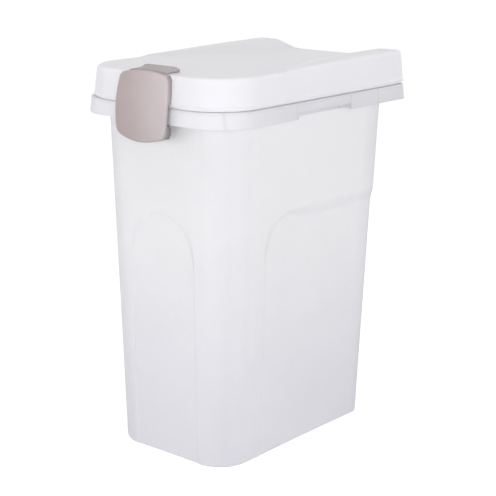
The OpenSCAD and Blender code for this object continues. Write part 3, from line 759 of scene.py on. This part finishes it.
# Patches of dust about 4 mm across
dust_and_lid_shade = noise(t, (add(t, "TexCoord"), "Object"), 0.004, 4.0)
seal_colour = tint(t, dust_and_lid_shade, "#dcdcdc", "#e8e8e6")
matt = ramp(t, dust_and_lid_shade, 0, 1, 0.5, 0.7)
surface(t, {"Base Color": seal_colour, "Roughness": matt, "IOR": 1.41,
            "Subsurface Weight": 0.5, "Subsurface Radius": [1.0, 1.0, 1.0], "Subsurface Scale": 0.003})
seal.data.materials.append(silicone)
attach(seal, "lid body")
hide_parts("lid_seal")

# ---- Latch pin ----
# Thinner wire of the same steel, pressed into the latch and turning in the lid's lug.

for material_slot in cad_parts["latch_pin"].material_slots:
    material_slot.material = pin_steel

# ---- Latch ----
# One injection moulding in warm grey ABS: a bulged face in front of the lid's edge, an arm over the deck to a
# round end that turns with the pin, and a hook lip that catches behind the tub's skirt.

latch_low_point, latch_high_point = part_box("latch")
latch_front = latch_low_point[1]
latch_low = latch_low_point[2]
latch_w = latch_high_point[0] - latch_low_point[0]
latch_rise = 0.0028
latch_top = deck_z + latch_rise
latch_h = latch_top - latch_low
latch_lean = 0.0078
latch_bulge_r = 0.3
latch_side_r = 0.19
latch_bow_top = 0.0044
latch_bow_low = 0.0064
latch_t = 0.0028
latch_side_t = 0.003
face_middle = (latch_top + latch_low) / 2

# How much straighter the walls' rear edge is than the face's outline, and the share of that for the upper bow
rear_straight = 0.9
bow_straight = 0.6

# The walls' foot in front of the skirt, and the height above which they reach back to the lid
foot_y = -rim_d / 2 - free
foot_z = skirt_z - 0.001
foot_edge = 0.0015
split_z = lid_z + bead_h + 2 * bead_t

# Stations round the right half of the face: a turn of 90 degrees is the middle of the top, -90 that of the
# bottom. They are close together where the side wall steps
corner_turns = np.radians(np.linspace(88, 3, 20))
corner_s = np.cos(corner_turns) ** (1 / 9)
corner_f = np.sin(corner_turns) ** (1 / 9)
step_zs = np.array([split_z + 0.0002, split_z - 0.0002, foot_z + 0.0001, foot_z - 0.0001, foot_z - foot_edge])
step_bow = np.where(step_zs > face_middle, latch_bow_top, latch_bow_low)
step_f = (step_zs - face_middle) / (latch_h / 2 - step_bow)
side_f = np.sort(np.concatenate([np.linspace(0.65, -0.65, 13), step_f]))[::-1]
half_s = np.concatenate([np.linspace(0, 0.62, 8), corner_s, np.ones(len(side_f)), corner_s[::-1],
                         np.linspace(0.62, 0, 8)])
half_f = np.concatenate([np.ones(8), corner_f, side_f, -corner_f[::-1], -np.ones(8)])
edge_s = np.concatenate([half_s, -half_s[-2:0:-1]])
edge_f = np.concatenate([half_f, half_f[-2:0:-1]])


def face_y(x, z):
    """Depth of the face: it leans back with the square of the height and bulges along a circle."""
    rise = np.clip((z - latch_low) / latch_h, 0, 1)
    return latch_front + latch_lean * rise ** 2 + x ** 2 / (2 * latch_bulge_r)


def face_outline(d=0, share=1, straight=0):
    """x and z of the face's bowed outline, moved in by d and drawn to a share of its size about the middle.
    The half width falls by (1 - straight) (height from the middle)^2 / 2 r, the half height by bow times
    (share of the width)^2, where the upper bow is 1 - bow_straight times straight of its full value."""
    w = latch_w / 2 - d
    h = latch_h / 2 - d
    bow = np.where(edge_f > 0, latch_bow_top * (1 - bow_straight * straight), latch_bow_low)
    x = edge_s * (w - (1 - straight) * (h * edge_f) ** 2 / (2 * latch_side_r)) * share
    z = (h - bow * edge_s ** 2) * edge_f * share
    return x, face_middle + z


def inner_y(x, z):
    """Depth of the face's inner side, latch_t behind the face, or 2.6 mm off the lid's rounded edge."""
    round_z = deck_z - lid_edge_r
    hollow_r = lid_edge_r + 0.0026
    over = np.clip(z - round_z, 0, hollow_r)
    lid_front = top_plan[1] + lid_edge_r - np.sqrt(hollow_r ** 2 - over ** 2)
    return np.where(z > round_z, np.maximum(face_y(x, z) + latch_t, lid_front), face_y(x, z) + latch_t)


# The walls reach back to the lid and round its edge, short of the rim, and below it to the skirt's plane
lid_front_y = -lid_d / 2 - free
short_y = latch_front + 0.006
wall_zs = [latch_low, foot_z - foot_edge, foot_z - 0.0001, foot_z, split_z - 0.0001, split_z, deck_z]
wall_ys = [foot_y, foot_y, foot_y - foot_edge, short_y, short_y,
           lid_front_y + lid_draft * (split_z - lid_z) / deck_h, lid_front_y + lid_draft]


def wall_back(x, z):
    """Depth of the walls' rear edge at height z; over the lid's rounded edge it follows that circle."""
    rise = np.clip(z - deck_z + lid_edge_r, 0, lid_edge_r)
    round_y = top_plan[1] + lid_edge_r - np.sqrt((lid_edge_r + free) ** 2 - rise ** 2)
    straight_y = np.maximum(np.interp(z, wall_zs, wall_ys), face_y(x, z) + 0.003)
    return np.where(rise > 0, np.maximum(straight_y, round_y), straight_y)


# The face's rounded edge: softer along the top and softest at the foot; the walls start lower at the top
edge_x, edge_z = face_outline()
edge_r = 0.0008 + 0.0008 * ease(1.5 * edge_f) + 0.0014 * ease(-1.5 * edge_f) * np.abs(edge_f) ** 8
edge_drop = 0.0016 * ease((edge_f - 0.8) / 0.2)


def face_ring(d, share=1, lead=0):
    """Ring on the face, set back by lead."""
    x, z = face_outline(d, share)
    return np.column_stack([x, face_y(x, z) + lead, z])


def side_wall_ring(d, s, straight):
    """Ring on the walls, a share s of the way from the face's rounded edge to the walls' rear edge."""
    x, z = face_outline(d, 1, straight)
    return np.column_stack([x, mix(face_y(edge_x, edge_z) + edge_r, wall_back(x, z), s), z])


def floor_ring(share):
    """Ring on the face's inner side."""
    x, z = face_outline(latch_side_t, share)
    return np.column_stack([x, inner_y(x, z), z])


face_turns = np.radians(np.linspace(0, 90, 7))
floor_x, floor_z = face_outline(latch_side_t)
floor_y = np.maximum(wall_back(floor_x, floor_z) - 0.0003, inner_y(floor_x, floor_z))
dish = skin(
    [face_ring(0, share=s) for s in (0.12, 0.3, 0.48, 0.64, 0.78, 0.9)]
    + [face_ring(edge_r * (1 - math.sin(q)), lead=edge_r * (1 - math.cos(q))) for q in face_turns]
    + [side_wall_ring(edge_drop * s, s, rear_straight * s) for s in (0.3, 0.6, 0.93)]
    + [side_wall_ring(edge_drop + 0.0002, 1, rear_straight),
       side_wall_ring(latch_side_t - 0.0003, 1, rear_straight)]
    + [np.column_stack([floor_x, floor_y, floor_z])]
    + [floor_ring(s) for s in (1, 0.9, 0.75, 0.5, 0.25)],
    [0, face_y(0, face_middle), face_middle], [0, inner_y(0, face_middle), face_middle])

# Arm: cross sections from inside the dish's top wall to the round end, which lies round the lug's slot
arm_y = latch_front + 0.012
arm_half = latch_end_w / 2
arm_flare = 0.0068
arm_flare_l = 0.0125
arm_fall = math.radians(10)
slot_w = latch_lug_w + 2 * free
slot_r = latch_lug_r + free
cover_r = (slot_r + latch_end_r) / 2
# Two sections stand almost at one place, where the underside steps up into the slot's hollow
arm_ys = np.concatenate([
    np.linspace(arm_y - 0.0015, latch_y - slot_r - 0.0012, 16),
    latch_y - cover_r + np.array([0, 0.0000001, 0.0002, 0.0006, 0.0012, 0.0019, 0.0028])])


def arm_width(y):
    """Half width of the arm: as wide as the round end, and wider towards the face by arm_flare times the
    share of the way ^ 2.2."""
    return arm_half + arm_flare * np.clip((arm_y + arm_flare_l - y) / arm_flare_l, 0, 1) ** 2.2


def arm_top(y):
    """Height of the arm along its middle: from the round end it falls by arm_fall towards the face, and dips
    by a millimetre behind the ridge there, times e ^ -(distance from the dip / 2.5 mm)^2."""
    start = latch_y - latch_end_r * math.sin(arm_fall)
    dip = 0.001 * math.exp(-((y - latch_front - 0.0135) / 0.0025) ** 2)
    return latch_z + latch_end_r * math.cos(arm_fall) - (start - y) * math.tan(arm_fall) - dip


def arm_section(y):
    """Cross section at y: a crown that falls with the fourth power of the share of the width, rounded sides,
    and an underside that is level over the deck, rounded over the lid's edge and hollow round the slot."""
    half, top = arm_width(y), arm_top(y)
    crown_half = half - 0.0004
    hollow_r = lid_edge_r + free
    ahead = min(max(top_plan[1] + lid_edge_r - y, 0), hollow_r - 0.0004)
    low = deck_z + free + 0.0001 - hollow_r + math.sqrt(hollow_r ** 2 - ahead ** 2)
    behind = latch_y - y
    inner = latch_z + math.sqrt(cover_r ** 2 - behind ** 2) if behind < cover_r else low
    across = np.sin(np.linspace(-math.pi / 2, math.pi / 2, 25)) * crown_half
    crown = top - min(0.0022, 0.55 * (top - low)) * (across / half) ** 4
    high_side, low_side = mix(low, crown[0], 0.75), mix(low, crown[0], 0.25)
    under_x = np.array([crown_half, slot_w / 2 + 0.0003, slot_w / 2 + 0.0002])
    under_z = np.array([low, low, inner])
    xs = np.concatenate([across, [half, half], under_x, -under_x[::-1], [-half, -half]])
    zs = np.concatenate([crown, [high_side, low_side], under_z, under_z[::-1], [low_side, high_side]])
    return np.column_stack([xs, np.full(len(xs), y), zs])


arm_rings = [arm_section(y) for y in arm_ys]
arm = skin(arm_rings, arm_rings[0].mean(0), [0, arm_ys[-1], arm_top(arm_ys[-1]) - 0.0002])

# Round end: two turned ends beside the slot, one with the pin's open bore, and a cover over the slot
end_slim = 0.0011
end_slim_l = 0.007
end_edge_r = 0.0009
bore_l = 0.0012
round_turns = np.radians(np.arange(0, 360, 10))


def turned(stations):
    """Circles about the latch's axis, one for each (x, radius)."""
    return [at_x(x, arc((latch_y, latch_z), r, round_turns)) for x, r in stations]


def end_r(x):
    """Radius of the round end: it loses end_slim over its last stretch, with the square of the way."""
    start = arm_half - end_edge_r - end_slim_l
    return latch_end_r - end_slim * np.clip((x - start) / end_slim_l, 0, 1) ** 2


end_xs = np.linspace(slot_w / 2, arm_half - end_edge_r, 8)
end_stations = [(x, end_r(x)) for x in end_xs] + [
    (arm_half - end_edge_r * (1 - math.sin(q)), end_r(arm_half) - end_edge_r * (1 - math.cos(q)))
    for q in np.radians([30, 60, 90])]
bore = [(arm_half, latch_pin_r), (arm_half - bore_l, latch_pin_r)]
right_end = skin(turned(end_stations), [slot_w / 2, latch_y, latch_z], [arm_half, latch_y, latch_z])
left_end = skin(turned([(-x, r) for x, r in (end_stations + bore)[::-1]]),
                [bore_l - arm_half, latch_y, latch_z], [-slot_w / 2, latch_y, latch_z])
cover_turns = np.radians(np.linspace(55, 180, 18))
cover_yz = np.vstack([arc((latch_y, latch_z), latch_end_r, cover_turns),
                      arc((latch_y, latch_z), slot_r, cover_turns[::-1])])
cover = prism(at_x(-slot_w / 2 - 0.0005, cover_yz), [slot_w + 0.001, 0, 0])

# Hook: from the foot of the walls along the bottom edge to a lip behind the skirt
hook_w = 0.8 * latch_w
hook_y = skirt_t + 0.0005 - rim_d / 2
hook_back = hook_y + 0.0024
hook_top = skirt_z + 0.0028
hook_root = foot_y - 0.001
hook_floor = 0.0036
hook_round = 0.0006
hook_chamfer = 0.0008
hook_xs = np.linspace(-hook_w / 2, hook_w / 2, 15)


def hook_section(x):
    """Section of the hook at x, with its bottom along the face's bowed lower edge. The tip slants
    in front, where it rides over the skirt's edge, and is chamfered behind."""
    low = latch_low + 0.0003 + latch_bow_low * (2 * x / latch_w) ** 2
    return at_x(x, [
        [hook_root, low], [hook_back - hook_round, low], [hook_back, low + hook_round],
        [hook_back, hook_top - hook_chamfer], [hook_back - hook_chamfer, hook_top],
        [hook_y + 0.0003, hook_top - 0.0013], [hook_y, hook_top - 0.0018],
        [hook_y, low + hook_floor + 0.0009], [hook_y - hook_chamfer, low + hook_floor],
        [hook_root, low + hook_floor]])


def hook_corner(x):
    """The point of the hook's corner from which its whole section can be seen."""
    return [x, (hook_y + hook_back) / 2, latch_low + 0.002 + latch_bow_low * (2 * x / latch_w) ** 2]


hook = skin([hook_section(x) for x in hook_xs], hook_corner(hook_xs[0]), hook_corner(hook_xs[-1]))

latch = piece("latch_moulding", [dish, arm, right_end, left_end, cover, hook], 40)

mark(latch, "depth", lambda x, y, z: y - face_y(x, z))

# Warm grey ABS, injection moulded and lightly textured: opaque, with a satin gloss that carries soft
# highlights
latch_plastic, t = blank("warm grey ABS, moulded satin")
place = (add(t, "TexCoord"), "Object")
px, py, pz = axes(t, place)
# Painted reflection: the face is paler towards its right side
sheen_share = ramp(t, px, -0.036, 0.034, smooth=True)
painted_sheen_tone = tint(t, sheen_share, "#b8a8a8", "#d1c6c7")
# Pigment clouds about 25 mm across
cloudy = ramp(t, noise(t, place, 0.025, 3.0), 0.3, 0.7, 0.96, 1.02)
# Painted shade: the last 1.5 mm above the bowed lower edge are darker
bow = reckon(t, "POWER", px, 2.0)
above = reckon(t, "MULTIPLY_ADD", bow, -4 * latch_bow_low / latch_w ** 2, pz)
edge = ramp(t, above, latch_low + 0.0002, latch_low + 0.0017, 0.55)
# Painted shadow on the foot behind the face, under the skirt
set_back = ramp(t, py, latch_front + 0.005, latch_front + 0.008)
below = ramp(t, pz, foot_z + 0.001, foot_z - 0.001)
foot = reckon(t, "MULTIPLY", set_back, below)
painted_foot_shadow = ramp(t, foot, 0, 1, 1.0, 0.56)
# Painted shade: the walls beside the face are darker
outer = ramp(t, reckon(t, "ABSOLUTE", px), 0.0295, 0.0315)
deep = (add(t, "Attribute", attribute_name="depth"), "Fac")
deeper = ramp(t, deep, 0.001, 0.003)
beside = reckon(t, "MULTIPLY", outer, deeper)
painted_side_shade = ramp(t, beside, 0, 1, 1.0, 0.72)
# Painted shade: the arm over the deck is darker
painted_arm_shade = ramp(t, py, latch_front + 0.0095, latch_front + 0.0115, 1.0, 0.76)
# Painted shade in the valley between the face's ridge and the arm
off = reckon(t, "ABSOLUTE", reckon(t, "SUBTRACT", py, latch_front + 0.0155))
valley = ramp(t, off, 0.0005, 0.0035, 0.74, smooth=True)
high = ramp(t, pz, deck_z - 0.003, deck_z - 0.001)
painted_valley_shade = either(t, high, 1.0, valley)
# Painted shade: the lower half of the face is a little darker than the upper
lower = ramp(t, pz, latch_low, latch_low + 0.045, 0.9)
# All of these shares dim the colour
grey = dimmed(t, painted_sheen_tone, cloudy, [edge, painted_foot_shadow, painted_side_shade, painted_arm_shade, painted_valley_shade, lower])
# Tool texture of 0.15 mm, drawn at 0.7 mm, and the slow waves of a cooled sheet
surface(t, {"Base Color": grey, "IOR": 1.53, "Specular IOR Level": 0.35,
            **moulded(t, place, (0.0007, 0.2, 0.00003), (0.02, 0.25, 0.0002), (0.3, 0.42))})
latch.data.materials.append(latch_plastic)
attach(latch, "latch body")
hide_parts("latch")

# ---- Studio ----
# A white sweep under soft lamps, at a level where a colour renders about as it is written. The camera stands
# at the front right, a little above the lid.

scene = bpy.context.scene
scene.view_settings.view_transform = "Standard"


def lamp(name, position, aim, size, power):
    """A square area lamp of the given size and power, turned from its position towards a point. Glossy rays
    pass it and see the white room, as it would glare on the lid from behind."""
    data = bpy.data.lights.new(name, "AREA")
    data.size = size
    data.energy = power
    obj = bpy.data.objects.new(name, data)
    turn = (Vector(aim) - Vector(position)).to_track_quat("-Z", "Y")
    obj.matrix_world = Matrix.Translation(position) @ turn.to_matrix().to_4x4()
    obj.visible_glossy = False
    scene.collection.objects.link(obj)


lamp("key", (1.5, -2.0, 0.3), (0, 0, 0.25), 1.6, 23.5)
lamp("top", (0, -0.3, 2.2), (0, 0, 0.25), 1.6, 15.3)


def rays_shown_white(tree):
    """1 for camera, glossy and transmission rays, which see the plain white background, and 0 for others."""
    path = add(tree, "LightPath")
    seen = reckon(tree, "MAXIMUM", (path, "Is Camera Ray"), (path, "Is Glossy Ray"))
    return reckon(tree, "MAXIMUM", seen, (path, "Is Transmission Ray"))


world = bpy.data.worlds.new("studio")
scene.world = world
world.use_nodes = True
t = world.node_tree
t.nodes.clear()
shown = rays_shown_white(t)
# The light comes from the room's walls more than from its ceiling, so that little shadow lies under the rim:
# a band of 2.25 at the horizon falls to 0.17 at 20 degrees up, and the right-hand wall adds up to 0.17
px, py, pz = axes(t, (add(t, "TexCoord"), "Generated"))
band = ramp(t, pz, 0.05, 0.35, 2.25, 0.17)
right_wall = ramp(t, px, 0, 1, 0.0, 0.17)
level = reckon(t, "ADD", band, right_wall)
light = add(t, "Background", {"Color": linear("#ffffff"), "Strength": level})
white = add(t, "Background", {"Color": linear("#ffffff"), "Strength": 1.0})
mixed = add(t, "MixShader", {0: shown, 1: (light, 0), 2: (white, 0)})
add(t, "OutputWorld", {"Surface": (mixed, 0)})

# The floor's own light lifts it to white for the camera, and the object's shadow stays on it
floor_reach = 6
floor_corners = [(-1, -1), (1, -1), (1, 1), (-1, 1)]
floor_mesh = bpy.data.meshes.new("floor")
floor_mesh.from_pydata([(x * floor_reach, y * floor_reach, 0) for x, y in floor_corners], [], [(0, 1, 2, 3)])
floor = bpy.data.objects.new("floor", floor_mesh)
scene.collection.objects.link(floor)
white_floor, t = blank("white painted floor")
shown = rays_shown_white(t)
lift = reckon(t, "MULTIPLY", shown, 0.75)
paint = add(t, "BsdfDiffuse", {"Color": linear("#f0f0f0")})
glow = add(t, "Emission", {"Color": linear("#ffffff"), "Strength": lift})
both = add(t, "AddShader", {0: (paint, 0), 1: (glow, 0)})
add(t, "OutputMaterial", {"Surface": (both, 0)})
floor_mesh.materials.append(white_floor)

# Camera: turned round from the front, looking down from 1.61 m away, and moved right and up to frame the
# object. Its focal length is given in pixels of a render 496 pixels wide
turn = math.radians(40.61)
rise = math.radians(14.62)
away = 1.610
move_right = 0.0033
move_up = 0.1972
lens_px = 1410
render_px = 496
back = Vector((math.sin(turn) * math.cos(rise), -math.cos(turn) * math.cos(rise), math.sin(rise)))
right = Vector((math.cos(turn), math.sin(turn), 0))
up = back.cross(right)
lens = bpy.data.cameras.new("camera")
lens.sensor_width = 36
lens.lens = lens_px / render_px * lens.sensor_width
lens.clip_end = 20
camera = bpy.data.objects.new("camera", lens)
spot = back * away + right * move_right + up * move_up
camera.matrix_world = Matrix.Translation(spot) @ Matrix((right, up, back)).transposed().to_4x4()
scene.collection.objects.link(camera)
scene.camera = camera
